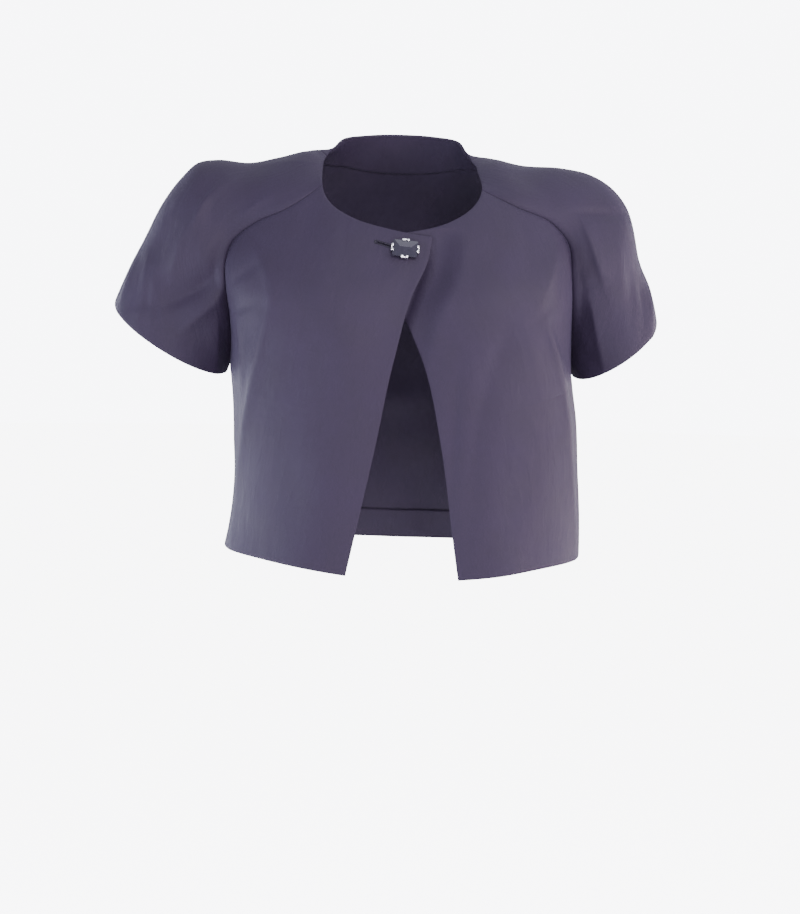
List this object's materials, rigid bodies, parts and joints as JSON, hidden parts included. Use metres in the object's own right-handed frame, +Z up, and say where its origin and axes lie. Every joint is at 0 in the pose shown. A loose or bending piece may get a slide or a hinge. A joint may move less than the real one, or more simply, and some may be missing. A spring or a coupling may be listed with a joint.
{
  "type": "bolero jacket",
  "caption": "Cropped raglan-sleeved bolero jacket in its worn shape, with a collarless neck, fronts that part below one jewelled button, and sleeves open above the elbow.",
  "frame": {"origin": "where the wearer's neck and shoulders hold it: the middle of the neck opening at the height of the shoulder line", "axes": "+X across the shoulders towards the wearer's left, -Y the way the front faces, +Z up"},
  "size_m": [0.5273, 0.2394, 0.4136],
  "materials": {
    "navy_satin": "close woven cotton satin with a soft sheen",
    "cut_stone": "smoky faceted stone",
    "silver_plate": "polished silver plate"
  },
  "bodies": {
    "root": {"front_right": "navy_satin", "front_left": "navy_satin", "back": "navy_satin", "sleeve_right": "navy_satin", "sleeve_left": "navy_satin", "button_stone": "cut_stone", "button_setting": "silver_plate", "claw_top": "silver_plate", "claw_bottom": "silver_plate", "claw_left": "silver_plate", "claw_right": "silver_plate", "button_shank": "silver_plate"}
  },
  "joints": []
}
